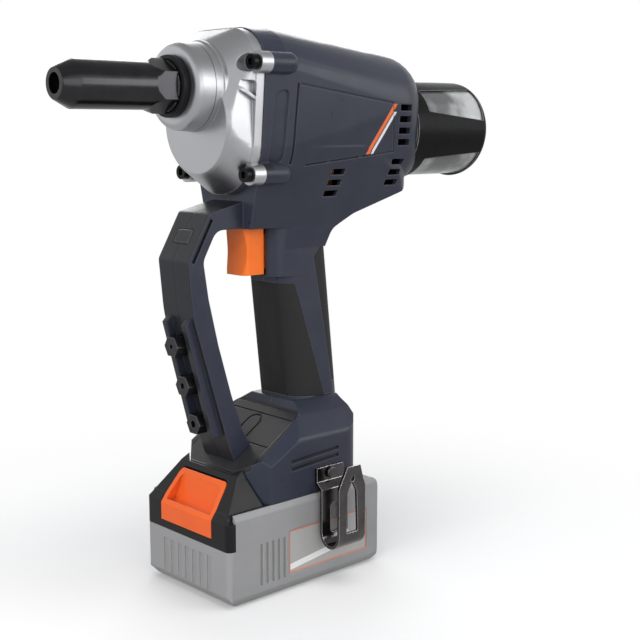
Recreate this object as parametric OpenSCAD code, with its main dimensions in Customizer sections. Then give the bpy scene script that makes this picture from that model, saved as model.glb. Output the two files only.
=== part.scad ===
// Battery rivet tool: a pistol-grip puller for blind rivets, standing on its battery pack.
// X runs from the nose (minus) to the rear (plus), Y across the tool, Z up from the pack's flat bottom.

/* [Housing] */
// Height of the pulling axis above the stand face
nose_z = 292.5; // [288:0.5:298]
// Where the gear case meets the housing, along the tool
seam_x = -28; // [-30:0.5:-26]
// Width of the housing
body_w = 70; // [68:0.5:76]
// Rise of the housing's top above the pulling axis
body_top = 33; // [32:0.5:36]
// Rear end of the housing
body_rear = 113; // [111:0.5:116]
// Radius of the housing's upper long edges
top_corner_r = 22.5; // [19:0.5:25]
// Radius of the round belly of the gear case and housing
belly_r = 31.6; // [30:0.2:33]
// Drop of the belly's centre below the pulling axis
belly_drop = 29.5; // [27:0.5:32]
// Wall of the moulded shells
wall = 3; // [2.4:0.1:3.6]

/* [Handle and guard] */
// Front to back depth of the handle
handle_depth = 42.5; // [40:0.5:45]
// Width of the handle
handle_w = 36; // [33:0.5:40]
// Radius of the handle's long edges
handle_round = 12; // [9:0.5:14]
// Lean of the handle
handle_tilt = 6.2; // [4:0.1:8]
// Thickness of the rubber grip pads
grip_t = 1.6; // [1:0.1:2]
// Width of the guard bow
guard_w = 28; // [26:0.5:32]
// Width of the work light's lens
led_w = 14; // [11:0.5:16]
// Height of the work light's lens
led_h = 9; // [7:0.5:10]

/* [Trigger] */
// Width of the trigger
trigger_w = 19; // [16:0.5:21]
// Travel of the trigger
trigger_travel = 6; // [4:0.5:6.5]

/* [Nose] */
// Diameter of the nose at its tip
tip_d = 17.4; // [16:0.2:19]
// Diameter of the nose sleeve
sleeve_d = 25.8; // [25:0.2:27]
// Front face of the nose
tip_x = -139; // [-143:0.5:-137]
// Diameter of the nose mouth
mouth_d = 11; // [10.6:0.1:12]
// Diameter of the mandrel bore in the fitted nosepiece
mandrel_d = 5; // [4:0.1:5.4]
// Width across flats of the spare nosepieces
spare_af = 11; // [9:0.5:12]

/* [Pulling gear] */
// Outside diameter of the pulling screw
screw_d = 16; // [15:0.5:17]
// Outside diameter of the mandrel tube
tube_d = 8; // [7:0.2:8.6]
// Tooth module of the gears
tooth_module = 1; // [0.98:0.01:1.02]
// Teeth on the nut gear
nut_teeth = 50; // [46:2:50]
// Teeth on the idler's pinion
idler_pinion_teeth = 18; // [16:1:18]
// Teeth on the idler's large gear
idler_teeth = 26; // [24:1:26]
// Teeth on the motor pinion
pinion_teeth = 12; // [12:1:13]
// Sideways offset of the idler shaft
idler_y = 11; // [9:0.5:12]

/* [Motor] */
// Outside diameter of the stator
stator_d = 42; // [38:0.5:43]
// Length of the stator
stator_l = 40; // [34:1:40]
// Diameter of the motor shaft
shaft_d = 5; // [4:0.2:6]

/* [Mandrel container] */
// Outside diameter of the container
container_d = 62; // [58:0.5:64]
// Rear end of the container
container_end = 172; // [164:1:180]
// Drop of the container's centre below the pulling axis
container_drop = 23.5; // [22:0.5:25]

/* [Battery pack] */
// Length of the pack
pack_l = 124; // [122:0.5:128]
// Width of the pack
pack_w = 80; // [78:0.5:84]
// Height of the pack's lower case
pack_h = 52; // [50:0.5:55]
// Travel of the release button
button_travel = 2.5; // [1.5:0.1:2.5]

/* [Belt hook and hanging ring] */
// Width of the belt hook
hook_w = 21.5; // [18:0.5:24]
// Thickness of the belt hook's steel strip
hook_t = 1.8; // [1.2:0.1:2.2]
// Width between the legs of the hanging ring
ring_w = 18; // [15:0.5:20]
// Wire diameter of the hanging ring
ring_wire = 3; // [2.4:0.1:3.2]

/* [Fits] */
// Radial clearance of running fits
run_fit = 0.05; // [0.02:0.01:0.1]
// Clearance of seated pieces
seat = 0.1; // [0.05:0.01:0.2]
// Clearance of sliding pieces
slide = 0.4; // [0.3:0.05:0.5]

/* [Hidden] */
$fn = 64;

navy = "#3f4453";
black = "#2b2b2d";
charcoal = "#383838";
orange = "#ee6a2c";
silver = "#c4c5c8";
steel = "#9a9ca0";
dark_steel = "#3a3a3c";
grey = "#8f9091";

// Levels that the housing's outline hangs from
bz = nose_z;
fz = pack_h;
half_w = body_w / 2;
rim_inset = 0.6;
neck_front = -8;
under_z = bz - 79.5;
bulkhead_x = 98;
bulkhead_t = 3;
hold_y = 60;
taper_x = -12;
rear_corner_r = 28;
rear_rise = 22.5;
belly_end_r = 30;
belly_end_x = body_rear - 20.5;
keel_end_x = body_rear - 33;
rim_x = body_rear - 1;

// Gear case and its screws
case_front = -46;
pad_front = -50.5;
pad_r = 30;
pad_z = bz - 20;
pad_edge = 2;
band_x = seam_x - 6;
boss_front = -66;
boss_r = 24;
boss_step_r = 25.5;
boss_step_x = -49;
ear_r = 6;
ear_len = 8;
ear_x = seam_x - ear_len;
upper_ear = [36, 13];
lower_ear = [29, -48];
case_screw_r = 2.4;
case_head_r = 4.2;
case_head_t = 4;
channel_in = 4.5;
pocket_depth = 5;
rib_end_x = -7;

// Nose
sleeve_r = sleeve_d / 2;
cone_x = tip_x + 9;
hex_start = -85;
hex_end = -70;
spigot_r = 14;
spigot_end = -57.5;
ring_r = 17;
nose_bore_r = 9;
nose_bore_x = -122;
nosepiece_x0 = tip_x + 5;

// Pulling gear along the axis
screw_r = screw_d / 2;
jaw_l = 18;
jaw_case_x = nose_bore_x + 1;
jaw_back = jaw_case_x + jaw_l;
screw_front = jaw_back + 5;
pusher_back = jaw_back + 6;
screw_back = 40;
screw_bore_r = tube_d / 2 + run_fit * 2;
nut_hub_r = 13;
nut_r = 16;
nut_front = -50;
nut_back = 2;
gear_x = -36.5;
gear_t = 7;
stage_x = -27;
stage_t = 6;
plate_x = -19;
plate_t = 6;
plate_z0 = bz - 64;
thrust_r = 19;
thrust_bore_r = 10;
nut_bearing_r = 21;
jaw_case_r = 8.6;
spring_well_r = 6.2;
spring_well_x = screw_front + 18;
guide_x = 33;
guide_t = 8;
guide_half = 14;
guide_rise = 5.5;
guide_rail_x = [29, 72];
guide_rail_t = 2;

// Gear train: the idler sits beside the tool's middle, the motor below the screw
nut_pitch = nut_teeth * tooth_module / 2;
idler_pinion_pitch = idler_pinion_teeth * tooth_module / 2;
idler_pitch = idler_teeth * tooth_module / 2;
pinion_pitch = pinion_teeth * tooth_module / 2;
nut_reach = nut_pitch + idler_pinion_pitch;
motor_reach = idler_pitch + pinion_pitch;
idler_z = bz - sqrt(nut_reach * nut_reach - idler_y * idler_y);
motor_z = idler_z - sqrt(motor_reach * motor_reach - idler_y * idler_y);
nut_to_idler = atan2(idler_z - bz, idler_y);
idler_to_motor = atan2(motor_z - idler_z, -idler_y);
idler_journal_r = 4;
bushing_r = 6;
bushing_l = 6;

// Motor along its shaft
stator_x = -7;
stator_r = stator_d / 2;
rotor_r = 11.4;
stator_bore_r = rotor_r + 0.6;
winding_l = 5;
stator_end = stator_x + stator_l;
fan_x = stator_end + winding_l + 2;
fan_t = 7;
fan_r = 18;
motor_bearing_r = 8;
bearing_t = 5;
rear_bearing_x = fan_x + fan_t + 2;
shaft_end = rear_bearing_x + bearing_t;

// Mandrel container
cont_z = bz - container_drop;
cont_r = container_d / 2;
cont_front = bulkhead_x + bulkhead_t + 0.5;
frame_t = 1.3;
window_t = 2;
cont_edge_r = 7;
collar_l = 12;
tube_x = [22, cont_front + 4];

// Handle
handle_x = 21.8;
handle_mid_z = fz + 98;
switch_x = [9, 30.5];
switch_z = [bz - 109, bz - 79];
trigger_top = under_z - 0.5;
trigger_low = bz - 107.5;
trigger_front = -24;
trigger_back = -9;
trigger_round = 4.5;
stem_back = 1;
stem_half = 10.5;
stem_z = bz - 94;

// Foot and pack joint
cover_t = 2.5;
foot_base = fz + cover_t + 0.3;
foot_front = -44;
foot_half = 38;
slope_top = [2, fz + 51];
slope_low = [foot_front, fz + 20.6];
slope_angle = atan2(slope_top[1] - slope_low[1], slope_top[0] - slope_low[0]);
slope_len = norm(slope_top - slope_low);
facet_rise = 40.3;
facet_turn = 115;
facet_tilt = 51.8;
cover_panel_t = 2.4;
panel_half = 28.5;
neck_half = 20;
head_half = 24;
head_z = [fz + 8, fz + 15];
rail_back = 32;
bay_x = [4, 42];
bay_half = 24;
bay_z = [fz + 19, fz + 44];
terminal_x = [34.2, 42];
terminal_half = 16;
blade_t = 0.8;
blade_y = [-12, -4, 4, 12];
blade_front = 24;
blade_slot = 2.4;

// Pack
pack_front = -pack_l / 2;
pack_half = pack_w / 2;
pack_wall = 3;
rim_z = fz + cover_t;
skirt_t = 5;
skirt_low = fz - 18;
button_half = 24;
button_top_half = 21.5;
button_low = fz - 13;
button_lip = fz - 2.4;
button_back = -53;
button_stop = -46.4;
cell_r = 9.1;
cell_l = 65;
cell_pitch = 19;
cell_rise = 18.3;
cell_z = pack_wall + cell_r + seat;
board_z = cell_z + cell_rise + cell_r + 0.5;

// Belt hook and hanging ring
hook_x = 5.5;
hook_in_y = -(pack_half + 3.2);
hook_out_y = hook_in_y - 14.8;
hook_low = fz - 21;
hook_top = fz + 22;
tab_z = [fz + 8.2, fz + 18];
jog_z = fz + 4.2;
hook_screw_z = fz + 14;
ring_x = 19;
ring_len = 21;
ring_z = bz + 27;
ring_seat_half = ring_w / 2 + ring_wire / 2 + 1.5;

// Clamshell screws: place along the tool and height
shell_screw_at = [[-44, bz - 73.5], [-60.3, bz - 112.5], [-42.4, fz + 60.3], [82, bz + 10.5],
    [78, bz - 61.5], [-18, bz - 71.5], [26, fz + 70], [-23, fz + 24]];
hollow_screws = [3, 4, 5, 6];
screw_shank_r = 1.9;
screw_tip_y = -10;
screw_seat_y = 8;
screw_head_t = 3;
screw_head_r = 3.4;
screw_boss_r = 5.6;

// Outline helpers
function unit(v) = v / norm(v);
function arc(c, r, a0, a1, n) = [for (i = [0:n]) c + r * [cos(a0 + (a1 - a0) * i / n),
    sin(a0 + (a1 - a0) * i / n)]];
function flat(p) = [p[0], p[1]];
// A corner of an outline, rounded to radius r with n steps
function corner(p0, p1, p2, r, n) =
    r <= 0 ? [p1] :
    let (
        a = unit(p0 - p1),
        b = unit(p2 - p1),
        half = acos(a * b) / 2,
        c = p1 + unit(a + b) * r / sin(half),
        s = p1 + a * r / tan(half) - c,
        e = p1 + b * r / tan(half) - c,
        a0 = atan2(s[1], s[0]),
        sweep = (atan2(e[1], e[0]) - a0 + 540) % 360 - 180
    ) arc(c, r, a0, a0 + sweep, n);
// An outline from points [x, y, corner radius]
function rounded(pts, n = 6) =
    let (k = len(pts))
    [for (i = [0:k - 1]) each corner(flat(pts[(i + k - 1) % k]), flat(pts[i]), flat(pts[(i + 1) % k]),
        pts[i][2], n)];
function rounded_box(x0, x1, y0, y1, r, n = 6) = rounded([[x0, y0, r], [x1, y0, r], [x1, y1, r], [x0,
    y1, r]], n);
// Both halves of an outline that is symmetric about Y = 0
function mirrored(pts) = concat(pts, [for (i = [len(pts) - 1:-1:0]) [-pts[i][0], pts[i][1], pts[i][2]]]);

// Egg-shaped section of housing and gear case, drawn in by d
function egg(d) =
    let (
        r1 = top_corner_r - d,
        y1 = half_w - top_corner_r,
        z1 = bz + body_top - top_corner_r,
        r2 = belly_r - d,
        z2 = bz - belly_drop,
        lean = atan2(z2 - z1, -y1) + acos((r1 - r2) / norm([y1, z1 - z2]))
    )
    concat(
        arc([y1, z1], r1, 90, lean, 8),
        arc([0, z2], r2, lean, -180 - lean, 16),
        arc([-y1, z1], r1, 180 - lean, 90, 8)
    );

// A toothed outline with its first tooth on the x axis
function gear_outline(teeth) =
    let (
        m = tooth_module,
        rp = teeth * m / 2,
        rt = rp + 0.8 * m,
        rr = rp - 1.15 * m,
        thick = 1.3 * m,
        tip = (thick / 2 - 0.8 * m * tan(20)) / rt * 180 / PI,
        root = (thick / 2 + 1.15 * m * tan(20)) / rr * 180 / PI
    )
    [for (i = [0:teeth - 1]) let (a = i * 360 / teeth)
        each [rr * [cos(a - root), sin(a - root)], rt * [cos(a - tip), sin(a - tip)],
            rt * [cos(a + tip), sin(a + tip)], rr * [cos(a + root), sin(a + root)]]];

// Solids from outlines: side view (x, z), end view (y, z) and plan (x, y)
module prism_y(pts, w) {
    rotate([90, 0, 0]) linear_extrude(w, center = true) polygon(pts);
}
module prism_x(pts, x0, x1) {
    translate([x0, 0, 0]) rotate([90, 0, 90]) linear_extrude(x1 - x0) polygon(pts);
}
module prism_z(pts, z0, z1) {
    translate([0, 0, z0]) linear_extrude(z1 - z0) polygon(pts);
}
module rod_x(x0, x1, y, z, r, r2 = -1) {
    translate([x0, y, z]) rotate([0, 90, 0]) cylinder(h = x1 - x0, r1 = r, r2 = r2 < 0 ? r : r2);
}
module rod_y(y0, y1, x, z, r) {
    translate([x, y0, z]) rotate([-90, 0, 0]) cylinder(h = y1 - y0, r = r);
}
module ring_x(x0, x1, y, z, r_out, r_in) {
    difference() {
        rod_x(x0, x1, y, z, r_out);
        rod_x(x0 - 1, x1 + 1, y, z, r_in);
    }
}
module block(x, y, z) {
    translate([x[0], y[0], z[0]]) cube([x[1] - x[0], y[1] - y[0], z[1] - z[0]]);
}
module wide_block(x, half, z) {
    block(x, [-half, half], z);
}
// A turned solid about an axis along X at height z, from points [x, radius]
module turned(z, pts) {
    translate([0, 0, z]) rotate([0, 90, 0]) rotate_extrude() polygon([for (p = pts) [p[1], p[0]]]);
}
module gear(teeth, x0, t, y, z, turn) {
    translate([x0, y, z]) rotate([90, 0, 90]) rotate([0, 0,
        turn]) linear_extrude(t) polygon(gear_outline(teeth));
}
// A coil spring along X: one unbroken tube of six sides, its ends run straight out
module coil(x0, x1, z, mean_r, wire_r, turns) {
    sides = 6;
    steps = 8 * turns;
    pitch = (x1 - x0 - 2 * wire_r) / turns;
    rings = [for (i = [0:steps]) let (a = 360 * i / 8, c = [x0 + wire_r + pitch * i / 8, cos(a), sin(a)])
        [for (k = [0:sides - 1]) let (b = 360 * k / sides, rr = mean_r + wire_r * cos(b))
            [c[0] + wire_r * sin(b), rr * c[1], z + rr * c[2]]]];
    points = [for (ring = rings) each ring];
    last = len(points) - sides;
    faces = concat(
        [for (k = [1:sides - 2]) [0, k + 1, k]],
        [for (k = [1:sides - 2]) [last, last + k, last + k + 1]],
        [for (i = [0:steps - 1], k = [0:sides - 1]) let (n = (k + 1) % sides)
            each [[i * sides + k, i * sides + n, (i + 1) * sides + k],
                [i * sides + n, (i + 1) * sides + n, (i + 1) * sides + k]]]
    );
    echo(coil_gap = pitch - 2 * wire_r);
    polyhedron(points, faces, convexity = 6);
}

// Housing outlines, drawn in by d for the hollow inside
function keel_side(d) =
    rounded([[seam_x + d, under_z + d, 0], [seam_x + d, bz - 20, 0], [body_rear - 4 - d, bz - 20, 0],
        [body_rear - 4 - d, bz - 46 + d, 9], [body_rear - 12 - d, bz - 57.5 + d, 9],
        [body_rear - 21 - d, bz - 62.2 + d, 20], [53, bz - 74 + d, 24],
        [36.5 - d, bz - 82.6 + d, 10], [32 - d, bz - 93, 0],
        [neck_front + d, bz - 93, 0], [neck_front + d, under_z + d, 0]]);
function keel(d) = [[31.2 - d, bz - 33], [20.5 - d, bz - 78.5], [18.2 - d, bz - 94],
    [-18.2 + d, bz - 94], [-20.5 + d, bz - 78.5], [-31.2 + d, bz - 33]];
function keel_plan(d) = concat([[seam_x - 2, 40]], arc([keel_end_x, 0], belly_end_r - 2 - d, 75, -75, 16),
    [[seam_x - 2, -40]]);
function handle_side(d) =
    rounded([[-9 + d, bz - 68, 0], [-2.2 + d, bz - 102, 30], [0.3 + d, handle_mid_z, 120], [8 + d,
        fz + 45, 0],
        [46.2 - d, fz + 45, 0], [43.4 - d, handle_mid_z, 120], [36.6 - d, bz - 102, 30], [45 - d,
            bz - 68, 0]], 4);
function guard_side() =
    rounded([[-20, bz - 62, 0], [-52.5, bz - 69.5, 3], [-67.5, bz - 95.5, 4], [-64.5, bz - 127.5, 60],
        [-41.5, fz + 37.5, 0], [-35.5, fz + 22, 0], [-22.5, fz + 30, 0], [-29, fz + 40, 20],
        [-38, fz + 64.5, 60], [-47.2, fz + 95.7, 60], [-53.7, bz - 117.5, 40], [-57, bz - 96, 8],
        [-47.5, under_z + 0.3, 8], [-20, under_z + 0.3, 0]], 4);
function foot_side() =
    rounded([[foot_front, foot_base, 0], [slope_low[0], slope_low[1], 0], [slope_top[0], slope_top[1], 0],
        [5, fz + 55.5, 0], [40.5, fz + 55.5, 0], [40.5, fz + 53, 3], [46, fz + 31, 5], [46, fz + 14, 4],
        [44, foot_base, 0]], 4);
function foot_plan() =
    rounded([[foot_front, -19, 0], [-28.5, -foot_half, 3], [45.8, -foot_half, 14], [45.8, foot_half, 14],
        [-28.5, foot_half, 3], [foot_front, 19, 0]], 5);
function foot_end() =
    rounded(mirrored([[foot_half, foot_base - 1, 0], [foot_half, fz + 37, 6], [29, fz + 49.5, 6], [19,
        fz + 56, 0]]), 3);

// Barrel: a straight egg-shaped front that runs into a long taper with a domed rear end
module barrel(d) {
    prism_x(egg(d), d > 0 ? seam_x - 1 : seam_x, taper_x + 0.5);
    hull() {
        for (s = [-1, 1]) {
            translate([taper_x, s * (half_w - top_corner_r), bz + body_top - top_corner_r])
                rotate([0, 90, 0]) cylinder(h = 0.5, r = top_corner_r - d, $fn = 36);
            translate([body_rear - rear_corner_r, s * (half_w - rear_corner_r),
                bz + rear_rise - rear_corner_r])
                sphere(rear_corner_r - d, $fn = 36);
        }
        translate([taper_x, 0, bz - belly_drop])
            rotate([0, 90, 0]) cylinder(h = 0.5, r = belly_r - d, $fn = 48);
        translate([belly_end_x, 0, bz - belly_drop - 1.5]) sphere(belly_end_r - d, $fn = 36);
    }
}
module body_block(d) {
    difference() {
        union() {
            intersection() {
                union() {
                    barrel(d);
                    intersection() {
                        prism_x(keel(d), seam_x - 2, body_rear);
                        prism_y(keel_side(d), 2 * hold_y);
                        prism_z(keel_plan(d), bz - 110, bz);
                    }
                }
                block([seam_x - 5, d > 0 ? bulkhead_x : rim_x], [-hold_y, hold_y], [bz - 120, bz + 60]);
            }
            trigger_house(d);
        }
        neck_corner(d);
    }
}
// Front of the neck, which carries the trigger
module trigger_house(d) {
    prism_z(rounded_box(neck_front + d, 20, -18.2 + d, 18.2 - d, 4 - d, 4), bz - 109 + d, bz - 76);
}
// Corner that the neck loses beside the trigger
module neck_corner(d) {
    y = trigger_w / 2 + 1.2;
    x = neck_front + 0.7 * d;
    for (s = [-1, 1])
        prism_z([for (p = [[-20, 40], [-20, y], [x, y], [x + 1.4, y + 2.5 - d], [x + 4, y + 5.1 - d],
            [x + 8, y + 7.6 - d], [x + 13, y + 9.4 - d], [x + 17, y + 10.4 - d], [x + 17, 40]])
            [p[0], s * p[1]]], bz - 112, under_z);
}
module handle_block(d) {
    intersection() {
        translate([handle_x, 0, handle_mid_z]) rotate([0, -handle_tilt, 0])
            prism_z(rounded_box(-handle_depth / 2 + d, handle_depth / 2 - d, -handle_w / 2 + d,
                handle_w / 2 - d,
                handle_round - d, 8), -80, 100);
        prism_y(handle_side(d), 2 * hold_y);
    }
}
module guard_block() {
    prism_y(guard_side(), guard_w);
    for (s = [-1, 1])
        translate([0, s * 9, 0])
            prism_y([[-62, bz - 128], [-64.6, bz - 128], [-68, bz - 131.5], [-49.9, fz + 41], [-40,
                fz + 41]], 4);
}
module foot_block() {
    difference() {
        intersection() {
            prism_y(foot_side(), 2 * hold_y);
            prism_x(foot_end(), foot_front - 1, 60);
            prism_z(foot_plan(), foot_base - 2, fz + 70);
        }
        // Facets that fall from the slope's edges to the side walls
        for (s = [-1, 1])
            translate([0, s * foot_half, fz + facet_rise])
                rotate([0, 0, s * facet_turn])
                rotate([0, facet_tilt, 0])
                block([-100, 100], [-100, 100], [0, 60]);
    }
}
// Rows of half-round ribs on the housing that hold the gear case screws
module screw_ribs() {
    for (s = [-1, 1], e = [upper_ear, lower_ear]) {
        rod_x(seam_x, rib_end_x - ear_r, s * e[0], bz + e[1], ear_r);
        translate([rib_end_x - ear_r, s * e[0], bz + e[1]]) sphere(ear_r);
    }
}
// Inner ribs that carry the motor, the screw guide and the mandrel tube
module inner_ribs() {
    for (x = [4, 24])
        difference() {
            block([x, x + 3], [-hold_y, hold_y], [motor_z - stator_r - 6, bz + body_top]);
            rod_x(x - 1, x + 4, 0, motor_z, stator_r + seat);
            rod_x(x - 1, x + 4, 0, bz, screw_r + 1);
        }
    difference() {
        block([rear_bearing_x, rear_bearing_x + bearing_t - 1], [-hold_y, hold_y], [motor_z - 14,
            motor_z + 12]);
        rod_x(rear_bearing_x - 1, shaft_end + 1, 0, motor_z, motor_bearing_r + seat);
    }
    for (s = [-1, 1], z = [bz + guide_rise + slide, bz - guide_rise - slide - guide_rail_t])
        translate([0, s * (guide_half - 4.5 + hold_y / 2), 0])
            wide_block(guide_rail_x, hold_y / 2, [z, z + guide_rail_t]);
    wide_block([ring_x - 7, ring_x + ring_len + 6], ring_seat_half + 4, [ring_z - 5, ring_z + 4]);
    for (i = hollow_screws)
        rod_y(-hold_y, hold_y, shell_screw_at[i][0], shell_screw_at[i][1], screw_boss_r);
}
// Slots of one vent, a slanted stack
module vent(x, z, slot_w, slot_h, pitch, count, lean) {
    for (i = [0:count - 1])
        translate([x + lean * i, 0, z + pitch * i])
            prism_y([[0, 0], [slot_w, 0], [slot_w + lean * slot_h / pitch, slot_h],
                [lean * slot_h / pitch, slot_h]], 2 * hold_y);
}
// Raised bands and hollows on the housing's flanks
module flank_hollows() {
    difference() {
        union() {
            prism_y(rounded([[-22.5, bz - 43, 3], [-11.5, bz - 41, 3], [-9.5, bz - 0.5, 3], [-20,
                bz - 3, 3]], 3),
                2 * hold_y);
            prism_y([[-6, bz - 43], [-4.4, bz - 43], [-2.6, bz + 2.5], [-4.2, bz + 2.5]], 2 * hold_y);
        }
        prism_x(egg(1.2), seam_x - 1, taper_x + 1);
        barrel(1.1);
    }
    difference() {
        prism_y([[-1, bz + 2.5], [74, bz - 7], [80, bz - 37], [6, bz - 44], [6, bz - 43.2], [79.2,
            bz - 36.2],
            [73.4, bz - 7.8], [-1, bz + 1.7]], 2 * hold_y);
        barrel(0.6);
    }
}
module grip_zone() {
    prism_y([[-30, fz + 129], [8, fz + 126.5], [32, fz + 55], [-30, fz + 62]], 2 * hold_y);
    prism_y([[23, fz + 142], [33, fz + 152], [70, fz + 152], [70, fz + 58], [38.5, fz + 64]], 2 * hold_y);
}
module led_frame() {
    translate([-60, 0, bz - 82.5]) rotate([0, -60, 0]) children();
}
module foot_frame() {
    translate([slope_top[0], 0, slope_top[1]]) rotate([0, -slope_angle, 0]) children();
}
module foot_panel(gap) {
    difference() {
        wide_block([-slope_len + 1.5 - gap, -1.5 + gap], panel_half + gap, [-cover_panel_t - gap, 4]);
        if (gap == 0)
            wide_block([-slope_len, 4], panel_half + 2, [0, 6]);
    }
}
module pack_slot() {
    wide_block([foot_front - 10, rail_back + 2], neck_half + slide, [fz - 1, head_z[0] + slide]);
    wide_block([foot_front - 10, rail_back + 2], head_half + slide, [head_z[0] - slide, head_z[1] + slide]);
    wide_block([rail_back + 1, terminal_x[1] + seat], terminal_half + seat, [fz - 1, fz + 17 + seat]);
}
module housing_hollow() {
    body_block(wall);
    handle_block(wall);
    wide_block(bay_x, bay_half, bay_z);
    rod_x(bulkhead_x + bulkhead_t, body_rear + 2, 0, cont_z, cont_r + slide);
}
module housing_cuts() {
    vent(82.5, bz - 33, 10.7, 3.8, 7, 4, -0.6);
    vent(24.5, bz - 62.6, 11, 3.4, 6.4, 3, 1.8);
    vent(75, bz - 57.4, 11, 3.4, 6.3, 3, 2.1);
    wide_block([trigger_back - 2, switch_x[0]], trigger_w / 2 + slide, [trigger_low - slide, under_z]);
    wide_block(switch_x + [-0.2, 0.2], 9.3, [switch_z[0] - 0.2, switch_z[1] + 0.2]);
    led_frame() block([-led_h / 2 - seat, led_h / 2 + seat], [-led_w / 2 - seat, led_w / 2 + seat],
        [-4, 6]);
    difference() {
        foot_frame() foot_panel(seat);
        guard_block();
    }
    for (s = [-1, 1])
        translate([0, s * (guard_w / 2 + 1), 0])
            prism_y([[-51.5, bz - 72.5], [-65, bz - 96], [-63.2, bz - 97], [-49.7, bz - 73.5]], 6);
    pack_slot();
    rod_x(bulkhead_x - 2, bulkhead_x + bulkhead_t + 1, 0, bz, tube_d / 2 + seat);
    wide_block([ring_x - 4, ring_x + ring_len + 3], ring_seat_half, [ring_z - ring_wire / 2 - 0.5,
        bz + 60]);
    for (s = [-1, 1])
        rod_y(s > 0 ? ring_seat_half - 1 : -ring_seat_half - 2.5,
            s > 0 ? ring_seat_half + 2.5 : -ring_seat_half + 1,
            ring_x, ring_z, ring_wire / 2 + run_fit);
    for (p = shell_screw_at) {
        rod_y(screw_tip_y - 0.5, screw_seat_y + 1, p[0], p[1], screw_shank_r + run_fit);
        rod_y(screw_seat_y, hold_y, p[0], p[1], screw_head_r + 0.3);
    }
    for (s = [-1, 1], e = [upper_ear, lower_ear])
        rod_x(seam_x - 1, -14, s * e[0], bz + e[1], case_screw_r + run_fit);
    rod_y(-foot_half - 2, -foot_half + 12, hook_x + hook_w / 2, hook_screw_z, 1.6 + run_fit);
    for (i = [0, 1])
        translate([-13, 0, fz + 19.5 + 4.6 * i])
            for (s = [-1, 1]) translate([0, s * (foot_half + 3), 0]) prism_y([[0, 0], [38, 2.4], [38,
                4.4], [0, 2]], 8);
    for (i = [0:2]) {
        p = spare_seat(i);
        rod_x(p[0] - 2, p[0] + 8, 0, p[1], 4 + seat);
        rod_x(p[0] - 12, p[0] - 1 + seat, 0, p[1], spare_af / 2 / cos(30) + 0.3);
    }
}
module housing() {
    difference() {
        union() {
            difference() {
                union() {
                    body_block(0);
                    handle_block(0);
                    guard_block();
                    foot_block();
                    screw_ribs();
                }
                housing_hollow();
                flank_hollows();
            }
            intersection() {
                inner_ribs();
                body_block(0.5);
            }
            intersection() {
                rod_y(-hold_y, hold_y, shell_screw_at[6][0], shell_screw_at[6][1], screw_boss_r);
                handle_block(0.5 + grip_t);
            }
        }
        housing_cuts();
        difference() {
            grip_zone();
            handle_block(grip_t);
            body_block(0);
            foot_block();
        }
    }
}
module half_space(s) {
    block([-200, 300], s > 0 ? [0, 100] : [-100, 0], [-10, 400]);
}
module left_shell() {
    color(navy) intersection() {
        housing();
        half_space(-1);
    }
}
module right_shell() {
    color(navy) intersection() {
        housing();
        half_space(1);
    }
}
module grip_pads(s) {
    color(charcoal) difference() {
        intersection() {
            handle_block(0);
            grip_zone();
            half_space(s);
        }
        handle_block(grip_t);
        body_block(0);
        foot_block();
    }
}
module left_grip() {
    grip_pads(-1);
}
module right_grip() {
    grip_pads(1);
}
module foot_cover() {
    color(black) difference() {
        intersection() {
            foot_frame() difference() {
                foot_panel(0);
                // A thumb notch and two cross lines pressed into the panel
                translate([0, 0, -0.7]) linear_extrude(2)
                    polygon(concat([[-27, -6.2]], arc([-15, 0], 6.2, -90, 90, 10), [[-27, 6.2], [-27, 4.8]],
                        arc([-15, 0], 4.8, 90, -90, 10), [[-27, -4.8]]));
                for (x = [-8, -31]) wide_block([x, x + 0.8], panel_half + 1, [-0.7, 1]);
            }
            prism_z(foot_plan(), foot_base, fz + 70);
        }
        prism_y(guard_side(), guard_w + 2 * seat);
        handle_block(-seat);
    }
}
module shell_screws() {
    color(dark_steel) for (p = shell_screw_at) {
        rod_y(screw_tip_y, screw_seat_y, p[0], p[1], screw_shank_r);
        difference() {
            rod_y(screw_seat_y, screw_seat_y + screw_head_t, p[0], p[1], screw_head_r);
            translate([p[0], screw_seat_y + 1.4, p[1]]) rotate([-90, 0, 0]) cylinder(h = 3, r = 1.9,
                $fn = 6);
        }
    }
}

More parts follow.
